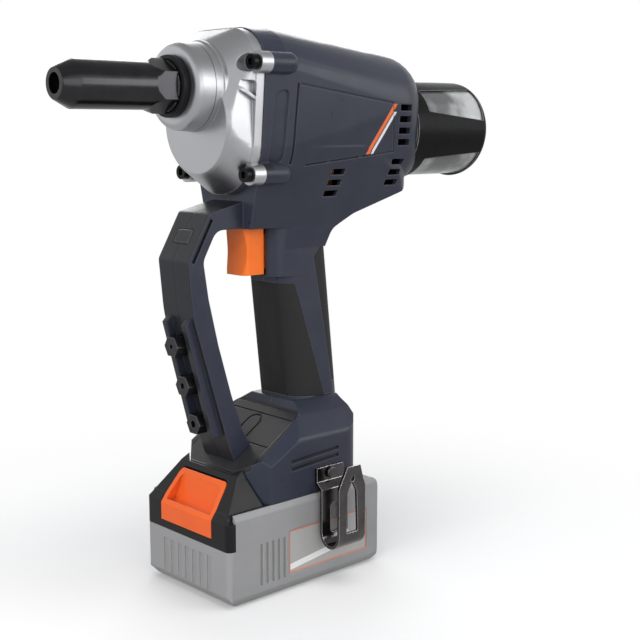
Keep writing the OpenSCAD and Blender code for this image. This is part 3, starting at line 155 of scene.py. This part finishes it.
def banded(mat, pitch, depth, strength=0.5):
    """Adds fine bands along X to a surface's relief, such as stacked sheet or wound wire."""
    tree = mat.node_tree
    bump = next(n for n in tree.nodes if n.type == "BUMP")
    bands = new_node(tree, "ShaderNodeTexWave", wave_type="BANDS", bands_direction="X",
                     Scale=ONE_BAND / pitch, Distortion=0.0)
    wire(tree, place_on(tree), bands.inputs["Vector"])
    ridge = new_node(tree, "ShaderNodeBump", Strength=strength, Distance=depth)
    wire(tree, bands.outputs["Fac"], ridge.inputs["Height"])
    wire(tree, bump.inputs["Normal"].links[0].from_socket, ridge.inputs["Normal"])
    wire(tree, ridge.outputs["Normal"], bump.inputs["Normal"])
    return mat


def give(material, *nodes):
    """Dresses CAD nodes that keep their own shape."""
    for name in nodes:
        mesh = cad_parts[name].data
        mesh.materials.clear()
        mesh.materials.append(material)


ground_steel = surface("ground_steel", paint(176, 177, 180), paint(140, 141, 145), rough=0.28,
                       metal=1.0, wear_and_highlight=0.0)
sheet_stack = surface("sheet_stack", paint(96, 98, 102), paint(66, 68, 72), rough=0.45,
                      metal=0.8, wear_and_highlight=0.0)
enamelled_wire = surface("enamelled_wire", paint(196, 104, 52), paint(140, 62, 26), rough=0.32,
                         metal=0.7, wear_and_highlight=0.0)
black_nylon = surface("black_nylon", paint(30, 30, 32), paint(20, 20, 22), rough=0.4, shine=0.15)
give(banded(sheet_stack, pitch=0.0007, depth=0.0002), "motor_stator", "motor_rotor")
give(banded(enamelled_wire, pitch=0.0011, depth=0.0004), "motor_windings")
give(ground_steel, "motor_shaft", "motor_pinion", "front_motor_bearing", "rear_motor_bearing")
give(black_nylon, "motor_fan")

# Gear train: the motor pinion drives an idler of hardened steel in two sintered bronze bushings,
# and the idler the gear pressed on the ball nut. The nut turns in a thrust and a radial bearing.
hard_steel = surface("hard_steel", paint(150, 151, 155), paint(112, 113, 118), rough=0.36, metal=1.0,
                     clouds=160.0, wear_and_highlight=0.0)
sintered_bronze = surface("sintered_bronze", paint(186, 148, 92), paint(140, 104, 58), rough=0.42,
                          metal=0.9, grain=5200.0, relief=0.3, wear_and_highlight=0.0)
give(hard_steel, "ball_nut", "nut_gear", "idler_gear")
give(ground_steel, "thrust_bearing", "nut_bearing")
give(sintered_bronze, "idler_bushings")

# Pulling gear: the ground steel screw that the nut draws back, its guide block of black nylon,
# and on its front the jaw case with three hardened jaws, the sprung pusher behind them and its
# coil spring.
ground_thread = surface("ground_thread", paint(170, 171, 175), paint(130, 131, 136), rough=0.3,
                        metal=1.0, wear_and_highlight=0.0)
black_oxide = surface("black_oxide", paint(38, 38, 40), paint(24, 24, 26), rough=0.28, metal=0.9,
                      clouds=120.0, wear_and_highlight=0.3)
give(banded(ground_thread, pitch=0.005, depth=0.0012, strength=0.8), "pull_screw")
give(black_nylon, "guide_block")
give(hard_steel, "jaw_case", "jaw_pusher", "jaw_spring")
give(black_oxide, "jaws")

# Bearing plate and gear case: aluminium die castings, satin blasted. The case carries the nose in
# its round boss and is held on the shells by four black socket screws through its ears.
FLAT_ANGLE = radians(0.5)    # faces that turn less than this are one flat face
LEAST_CORNER = 35.0          # edges that turn less than this are never rounded


def skin_of(node, name, body, material, sharp=30.0, round_to=0.0, steps=2, weld=1e-6):
    """A piece with a CAD node's shape: triangles merged, curves shaded smooth, edges rounded."""
    bm = bmesh.new()
    bm.from_mesh(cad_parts[node].data)
    bmesh.ops.remove_doubles(bm, verts=bm.verts, dist=weld)
    if round_to:
        bmesh.ops.dissolve_limit(bm, angle_limit=FLAT_ANGLE, verts=bm.verts, edges=bm.edges)
    for face in bm.faces:
        face.smooth = True
    for line in bm.edges:
        line.smooth = line.is_manifold and line.calc_face_angle(0.0) < radians(sharp)
    mesh = bpy.data.meshes.new(name)
    bm.to_mesh(mesh)
    bm.free()
    piece = bpy.data.objects.new(name, mesh)
    bpy.context.scene.collection.objects.link(piece)
    mesh.materials.append(material)
    if round_to:
        rounding = piece.modifiers.new("rounding", "BEVEL")
        rounding.width = round_to
        rounding.segments = steps
        rounding.limit_method = "ANGLE"
        rounding.angle_limit = radians(max(sharp, LEAST_CORNER))
        rounding.harden_normals = True
        rounding.miter_outer = "MITER_ARC"
    even = piece.modifiers.new("even_shading", "WEIGHTED_NORMAL")
    even.keep_sharp = True
    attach(piece, body)
    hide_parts(node)
    return piece


def maths(tree, operation, *values):
    """One arithmetic step on sockets and numbers."""
    node = new_node(tree, "ShaderNodeMath", operation=operation)
    for socket, value in zip(node.inputs, values):
        if isinstance(value, float):
            socket.default_value = value
        else:
            wire(tree, value, socket)
    return node.outputs[0]


def zone(tree, *limits):
    """1 where each value lies between its two limits, else 0."""
    found = 1.0
    for value, low, high in limits:
        found = maths(tree, "MULTIPLY", found, maths(tree, "GREATER_THAN", value, low))
        found = maths(tree, "MULTIPLY", found, maths(tree, "LESS_THAN", value, high))
    return found


def split(tree, vector):
    """The x, y and z of a vector."""
    apart = new_node(tree, "ShaderNodeSeparateXYZ")
    wire(tree, vector, apart.inputs[0])
    return apart.outputs[0], apart.outputs[1], apart.outputs[2]


def sloped(tree, along, up, slope, level):
    """Distance along a line that leans by a slope from a level up."""
    return maths(tree, "ADD", maths(tree, "MULTIPLY_ADD", up, -slope, slope * level), along)


def print_and_shade_on(mat, mask, colour):
    """Lays a colour over a surface where the mask is 1: print, and also painted shade."""
    tree = mat.node_tree
    target = next(n for n in tree.nodes if n.type == "BSDF_PRINCIPLED").inputs["Base Color"]
    wire(tree, blend_colours(tree, mask, target.links[0].from_socket, colour), target)


cast_aluminium = surface("cast_aluminium", paint(190, 191, 194), paint(174, 175, 178), rough=0.38,
                         metal=1.0, grain=1700.0, relief=0.16, clouds=45.0, edge=0.0008, wear_and_highlight=0.5,
                         wear_and_highlight_colour=paint(226, 226, 228), crease=0.004)
tree = cast_aluminium.node_tree
turned_line = (split(tree, place_on(tree))[0], -0.0544, -0.0539)
print_and_shade_on(cast_aluminium, zone(tree, turned_line), paint(104, 105, 108))
give(cast_aluminium, "bearing_plate")
skin_of("gear_case", "gear_case_casting", "tool", cast_aluminium, sharp=24.0)
skin_of("case_screws", "case_socket_screws", "tool", black_oxide, round_to=0.0004)

# Nose: a turned and black-oxided steel housing with hexagon flats for a spanner, a black collar
# ring behind it, and the fitted nosepiece whose bore takes the rivet's mandrel.
polished_oxide = surface("polished_oxide", paint(66, 66, 68), paint(50, 50, 52), rough=0.2, metal=0.95,
                         clouds=90.0, grain=3800.0, relief=0.04, edge=0.0006, wear_and_highlight=0.35,
                         wear_and_highlight_colour=paint(130, 130, 132), spread=0.04)
skin_of("nose_housing", "nose_sleeve", "tool", polished_oxide, round_to=0.0004)
skin_of("nose_ring", "nose_collar", "tool", black_nylon, round_to=0.0007, steps=3)
give(black_oxide, "nosepiece")

# Trigger, work light and electronics: a glossy orange moulded trigger on a sprung stem in front of
# its switch, a frosted light lens over its board, and the lacquered control board above the pack
# contacts. The half shells close round them.
def coil_of(node, name, body):
    """A wound steel spring from a CAD node, with a mesh of its own."""
    piece = skin_of(node, name, body, ground_steel, sharp=50.0)
    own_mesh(piece)


trigger_orange = surface("trigger_orange", paint(252, 124, 36), paint(244, 108, 26), rough=0.34,
                         grain=3000.0, relief=0.05, edge=0.0008, wear_and_highlight=0.3,
                         wear_and_highlight_colour=paint(252, 160, 90), shine=0.3)
lacquered_board = surface("lacquered_board", paint(38, 98, 66), paint(24, 70, 46), rough=0.3,
                          clouds=300.0)
plated_brass = surface("plated_brass", paint(206, 172, 104), paint(176, 140, 74), rough=0.3, metal=1.0)
# The lens's bright rim is painted highlight.
light_lens = surface("light_lens", paint(46, 47, 50), paint(36, 37, 40), rough=0.16, edge=0.0009,
                     wear_and_highlight=0.9, wear_and_highlight_colour=paint(176, 178, 182), grain=900.0, relief=0.12, shine=0.2)
skin_of("trigger", "trigger_blade", "trigger", trigger_orange,
        round_to=0.0012, steps=3)
coil_of("trigger_spring", "trigger_return_spring", "tool")
skin_of("led_lens", "work_light_lens", "tool", light_lens, round_to=0.0008)
give(black_nylon, "trigger_switch")
give(lacquered_board, "led_board", "control_board")
give(plated_brass, "terminal_block")

# Half shells: two satin slate-navy mouldings that meet on the tool's middle plane, hold everything
# inside and are screwed together from the right. Painted shade darkens the fronts of guard and foot,
# the guard's top under the gear case and the grooves in the foot's sides, and a slanting orange and
# white stripe is printed on each flank.
shell_navy = surface("shell_navy", paint(50, 54, 66), paint(42, 46, 58), rough=0.33, grain=2600.0,
                     relief=0.12, edge=0.0013, wear_and_highlight=0.3, wear_and_highlight_colour=paint(112, 116, 128), shine=0.24,
                     crease=0.004)
tree = shell_navy.node_tree
x, y, z = split(tree, place_on(tree))
side = maths(tree, "ABSOLUTE", y)
normal = new_node(tree, "ShaderNodeNewGeometry").outputs["True Normal"]
facing_x, facing_y, facing_z = split(tree, normal)
# Painted shade: faces turned forward on guard and foot, the guard's top under the gear case and the
# foot's side grooves.
guard_front_shade = zone(tree, (facing_x, -1.1, -0.45), (x, -0.2, -0.04), (z, 0.1, 0.228))
foot_slope_shade = zone(tree, (facing_x, -1.1, -0.3), (facing_y, -0.2, 0.2), (z, 0.05, 0.1035))
foot_groove_shade = zone(tree, (side, 0.0366, 0.0376), (x, -0.0135, 0.0255), (z, 0.0712, 0.0808))
guard_top_shade = zone(tree, (facing_z, 0.4, 1.1), (x, -0.2, -0.022), (z, 0.2, 0.262))
STRIPE_LEAN, STRIPE_FOOT = 0.639, 0.2543
lean = sloped(tree, x, z, STRIPE_LEAN, STRIPE_FOOT)
flank = (side, 0.024, 0.05)
orange_stripe = zone(tree, flank, (lean, 0.0548, 0.0579), (z, STRIPE_FOOT, 0.2845))
white_stripe = zone(tree, flank, (lean, 0.0588, 0.0612), (z, STRIPE_FOOT, 0.2797))
# The next four layers are painted shade; the two stripes are print.
print_and_shade_on(shell_navy, guard_front_shade, paint(37, 38, 42))
print_and_shade_on(shell_navy, foot_slope_shade, paint(31, 32, 35))
print_and_shade_on(shell_navy, foot_groove_shade, paint(25, 27, 33))
print_and_shade_on(shell_navy, guard_top_shade, paint(35, 36, 39))
print_and_shade_on(shell_navy, orange_stripe, paint(232, 112, 62))
print_and_shade_on(shell_navy, white_stripe, paint(226, 226, 228))
SHELL_WELD = 1.5e-4          # points nearer than this become one
for hand in ("left", "right"):
    skin_of(hand + "_shell", hand + "_shell_moulding", "tool", shell_navy,
            sharp=34.0, weld=SHELL_WELD)
give(black_oxide, "shell_screws")

# Grip pads: charcoal rubber moulded over the front and the back of the handle on both sides, set
# flush into recesses of the half shells.
grip_rubber = surface("grip_rubber", paint(42, 42, 42), paint(34, 34, 34), rough=0.55, grain=1500.0,
                      relief=0.3, edge=0.0008, wear_and_highlight=0.2, wear_and_highlight_colour=paint(66, 66, 66), shine=0.15,
                      crease=0.002)
for hand in ("left", "right"):
    skin_of(hand + "_grip", hand + "_grip_pads", "tool", grip_rubber,
            round_to=0.0007)

# Foot cover: a grey-black plastic panel that lies on the foot's slope, with a thumb notch pressed
# into it. It spans the seam between the half shells and is let into both.
panel_black = surface("panel_black", paint(46, 46, 48), paint(38, 38, 40), rough=0.44, grain=2000.0,
                      relief=0.2, edge=0.0006, wear_and_highlight=0.3, shine=0.25, crease=0.003)
skin_of("foot_cover", "foot_slope_panel", "tool", panel_black, round_to=0.0006)

# Spare nosepieces: three hexagon pieces for other rivet sizes, turned from steel and blackened.
# They are kept screwed into the front of the guard bow, with their heads outside.
bit_steel = surface("bit_steel", paint(74, 74, 77), paint(54, 54, 57), rough=0.3, metal=0.9,
                    clouds=140.0, edge=0.0006, wear_and_highlight=0.6, wear_and_highlight_colour=paint(150, 150, 153))
skin_of("spare_nosepieces", "spare_nose_bits", "tool", bit_steel, round_to=0.0005)

# Hanging ring: a bent ring of bright drawn steel wire on top of the barrel. Its two legs turn in
# holes of the shells, so that it folds down into a seat.
ring_steel = surface("ring_steel", paint(206, 207, 210), paint(176, 177, 181), rough=0.2, metal=1.0,
                     wear_and_highlight=0.0)
skin_of("hanging_ring", "hanging_ring_wire", "ring", ring_steel)

# Belt hook: a strip of dark spring steel, cut out and folded into a narrow U. Its bright edges are
# partly wear and partly painted highlight, and its strong light and dark clouding is painted
# reflection. One screw holds it to the left side of the foot.
spring_strip = surface("spring_strip", paint(112, 109, 109), paint(56, 54, 54), rough=0.16, metal=1.0,
                       wear_and_highlight=0.9, wear_and_highlight_colour=paint(232, 232, 234), clouds=110.0)
skin_of("belt_hook", "belt_hook_strip", "tool", spring_strip, round_to=0.0003)
skin_of("hook_screw", "belt_hook_screw", "tool", spring_strip, round_to=0.0005)

# Mandrel container: a black moulded frame over a clear smoky cup that catches the spent mandrels;
# it pushes into the rear of the shells. The steel tube leads the mandrels into it.
# The frame's bright cut edges are painted highlight.
container_black = surface("container_black", paint(26, 26, 27), paint(19, 19, 20), rough=0.3,
                          grain=2600.0, relief=0.06, edge=0.0007, wear_and_highlight=1.0,
                          wear_and_highlight_colour=paint(176, 176, 178), shine=0.05)
clear_cup = bpy.data.materials.new("clear_cup")
clear_cup.use_nodes = True
tree = clear_cup.node_tree
skin = tree.nodes["Principled BSDF"]
skin.inputs["Transmission Weight"].default_value = 0.5
skin.inputs["IOR"].default_value = 1.45
place = new_node(tree, "ShaderNodeTexCoord")
cloud = new_node(tree, "ShaderNodeTexNoise", Scale=34.0, Detail=3.0)
wire(tree, place.outputs["Object"], cloud.inputs["Vector"])
# Cloudy patches lightened nearly to white over the smoky grey are painted glints.
painted_glint_mask = ramp(tree, cloud.outputs["Fac"], low=0.4, high=0.64, interpolation_type="SMOOTHSTEP")
smoke_and_painted_glints = blend_colours(tree, painted_glint_mask, paint(126, 128, 129), paint(226, 228, 229))
wire(tree, smoke_and_painted_glints, skin.inputs["Base Color"])
gloss = ramp(tree, cloud.outputs["Fac"], low=0.0, high=1.0, first=0.05, last=0.12)
wire(tree, gloss, skin.inputs["Roughness"])
skin_of("container_frame", "container_frame_moulding", "container",
        container_black, round_to=0.0006)
skin_of("container_window", "container_clear_cup", "container", clear_cup)
give(ground_steel, "mandrel_tube")

# Battery pack: a satin grey case with ribs and a bare side label, a black cover with the slide
# rail, the orange release button, and inside it the cells, board and contacts. Four screws close
# it from below.
pack_grey = surface("pack_grey", paint(152, 152, 153), paint(142, 142, 143), rough=0.44, grain=2200.0,
                    relief=0.14, edge=0.0009, wear_and_highlight=0.35, wear_and_highlight_colour=paint(192, 192, 192), shine=0.25)
tree = pack_grey.node_tree
x, y, z = split(tree, place_on(tree))
wall = (maths(tree, "ABSOLUTE", y), 0.0386, 0.0402)
label = (wall, (x, -0.0166, 0.0471), (z, 0.0104, 0.0366))
inside = (wall, (x, -0.0157, 0.0462), (z, 0.0113, 0.0357))
BAND_LEAN, BAND_START = 0.12, -0.017
band = (sloped(tree, z, x, BAND_LEAN, BAND_START), 0.0121, 0.0158)
print_and_shade_on(pack_grey, zone(tree, *label), paint(214, 138, 112))
print_and_shade_on(pack_grey, zone(tree, *inside), paint(172, 171, 170))
print_and_shade_on(pack_grey, zone(tree, *inside, band, (x, BAND_START, 0.03)), paint(232, 232, 232))
cover_black = surface("cover_black", paint(27, 27, 29), paint(21, 21, 23), rough=0.36, grain=2200.0,
                      relief=0.12, edge=0.0009, wear_and_highlight=0.3, shine=0.2, crease=0.003)
button_orange = surface("button_orange", paint(236, 104, 42), paint(226, 90, 32), rough=0.36,
                        grain=3000.0, relief=0.05, edge=0.0008, wear_and_highlight=0.3,
                        wear_and_highlight_colour=paint(250, 150, 90), shine=0.3, crease=0.006)
cell_wrap = surface("cell_wrap", paint(86, 132, 158), paint(68, 112, 138), rough=0.3, wear_and_highlight=0.0)
PACK_ROUND = 0.0008
skin_of("pack_case", "pack_case_moulding", "pack", pack_grey, round_to=PACK_ROUND)
skin_of("pack_cover", "pack_cover_moulding", "pack", cover_black,
        round_to=PACK_ROUND)
skin_of("pack_button", "release_button", "button", button_orange,
        round_to=PACK_ROUND)
give(cell_wrap, "pack_cells")
give(lacquered_board, "pack_board")
give(plated_brass, "pack_terminals")
coil_of("button_spring", "button_return_spring", "pack")
give(black_oxide, "pack_screws")

# Studio: a pale floor that fades to white, and soft panel lights. The floor keeps the tool's
# shadow, and its far part and the backdrop show plain white.
FLOOR_GREY, FLOOR_SHOWN = (0.4, 0.4, 0.4, 1.0), (0.9, 0.9, 0.9, 1.0)
SKY_GREY, SKY_SHOWN = (0.3, 0.305, 0.315, 1.0), (1.0, 1.0, 1.0, 1.0)
FADE_START, FADE_END = 0.12, 0.42


def shown_white(tree):
    """1 on rays from the camera, off glossy pieces or through clear ones: they see the white."""
    ray = new_node(tree, "ShaderNodeLightPath")
    found = ray.outputs["Is Camera Ray"]
    for kind in ("Is Glossy Ray", "Is Transmission Ray"):
        found = maths(tree, "MAXIMUM", found, ray.outputs[kind])
    return found


bpy.ops.mesh.primitive_plane_add(size=8.0, location=(0.0, 0.0, -0.0003))
floor = bpy.context.object
floor.name = "studio_floor"
pale = bpy.data.materials.new("pale_floor")
pale.use_nodes = True
tree = pale.node_tree
skin = tree.nodes["Principled BSDF"]
skin.inputs["Roughness"].default_value = 0.9
skin.inputs["Specular IOR Level"].default_value = 0.1
wire(tree, blend_colours(tree, shown_white(tree), FLOOR_GREY, FLOOR_SHOWN),
     skin.inputs["Base Color"])
white = new_node(tree, "ShaderNodeEmission", Strength=1.0)
far = new_node(tree, "ShaderNodeVectorMath", operation="LENGTH")
wire(tree, new_node(tree, "ShaderNodeTexCoord").outputs["Object"], far.inputs[0])
fade = ramp(tree, far.outputs["Value"], FADE_START, FADE_END, interpolation_type="SMOOTHSTEP")
mixed = new_node(tree, "ShaderNodeMixShader")
wire(tree, maths(tree, "MULTIPLY", fade, shown_white(tree)), mixed.inputs[0])
wire(tree, skin.outputs["BSDF"], mixed.inputs[1])
wire(tree, white.outputs["Emission"], mixed.inputs[2])
wire(tree, mixed.outputs["Shader"], tree.nodes["Material Output"].inputs["Surface"])
floor.data.materials.append(pale)

sky = bpy.data.worlds.new("studio")
bpy.context.scene.world = sky
sky.use_nodes = True
tree = sky.node_tree
wire(tree, blend_colours(tree, shown_white(tree), SKY_GREY, SKY_SHOWN),
     tree.nodes["Background"].inputs["Color"])


def panel_light(name, place, aim, width, height, watts, reflected=True):
    """A soft rectangular lamp that looks at a point, and may be left out of reflections."""
    lamp = bpy.data.lights.new(name, "AREA")
    lamp.shape = "RECTANGLE"
    lamp.size = width
    lamp.size_y = height
    lamp.energy = watts
    rig = bpy.data.objects.new(name, lamp)
    bpy.context.scene.collection.objects.link(rig)
    rig.location = place
    rig.rotation_euler = (Vector(aim) - Vector(place)).to_track_quat("-Z", "Y").to_euler()
    rig.visible_glossy = reflected


TOOL_MIDDLE, BARREL = (0.0, 0.0, 0.2), (-0.05, 0.0, 0.25)
panel_light("key_panel", (-1.3, -0.5, 0.6), TOOL_MIDDLE,
            width=1.2, height=0.9, watts=16.0, reflected=False)
panel_light("camera_panel", (-0.3, -1.4, 0.4), TOOL_MIDDLE,
            width=1.3, height=0.9, watts=4.5)
panel_light("side_panel", (1.0, -1.2, 0.58), BARREL,
            width=1.0, height=0.7, watts=6.5)
panel_light("back_panel", (0.8, 1.3, 0.8), TOOL_MIDDLE,
            width=1.2, height=1.0, watts=10.0)
panel_light("top_panel", (0.0, -0.2, 1.4), TOOL_MIDDLE,
            width=1.0, height=1.0, watts=8.0, reflected=False)


# Dark cards: a grey cloth under the tool and one above it that only its shiny surfaces see, as
# they would the table and ceiling of a studio. They are no part of the tool.
def dark_card(name, height, grey):
    """A level card at a height that shows in reflections alone."""
    bpy.ops.mesh.primitive_plane_add(size=5.0, location=(0.0, 0.0, height))
    card = bpy.context.object
    card.name = name
    cloth = bpy.data.materials.new(name + "_cloth")
    cloth.use_nodes = True
    tree = cloth.node_tree
    glow = new_node(tree, "ShaderNodeEmission", Color=(grey, grey, grey, 1.0))
    wire(tree, glow.outputs["Emission"], tree.nodes["Material Output"].inputs["Surface"])
    card.data.materials.append(cloth)
    for kind in ("camera", "diffuse", "transmission", "volume_scatter", "shadow"):
        setattr(card, "visible_" + kind, False)


dark_card("floor_cloth", height=-0.0002, grey=0.62)
dark_card("ceiling_cloth", height=2.2, grey=0.42)

# Camera: it stands where the photograph was taken, as solved from the pack's edges and the nose's
# axis, and looks slightly down. Colours are shown as they are, with the standard view.
LOOK_DOWN, LOOK_ASIDE = 9.33, -43.0
eye = bpy.data.cameras.new("photo_camera")
eye.lens = 65.81
eye.sensor_width = 36.0
camera = bpy.data.objects.new("photo_camera", eye)
bpy.context.scene.collection.objects.link(camera)
camera.location = (-0.45185, -0.53277, 0.27014)
camera.rotation_euler = (radians(90.0 - LOOK_DOWN), 0.0, radians(LOOK_ASIDE))
bpy.context.scene.camera = camera
bpy.context.scene.view_settings.view_transform = "Standard"
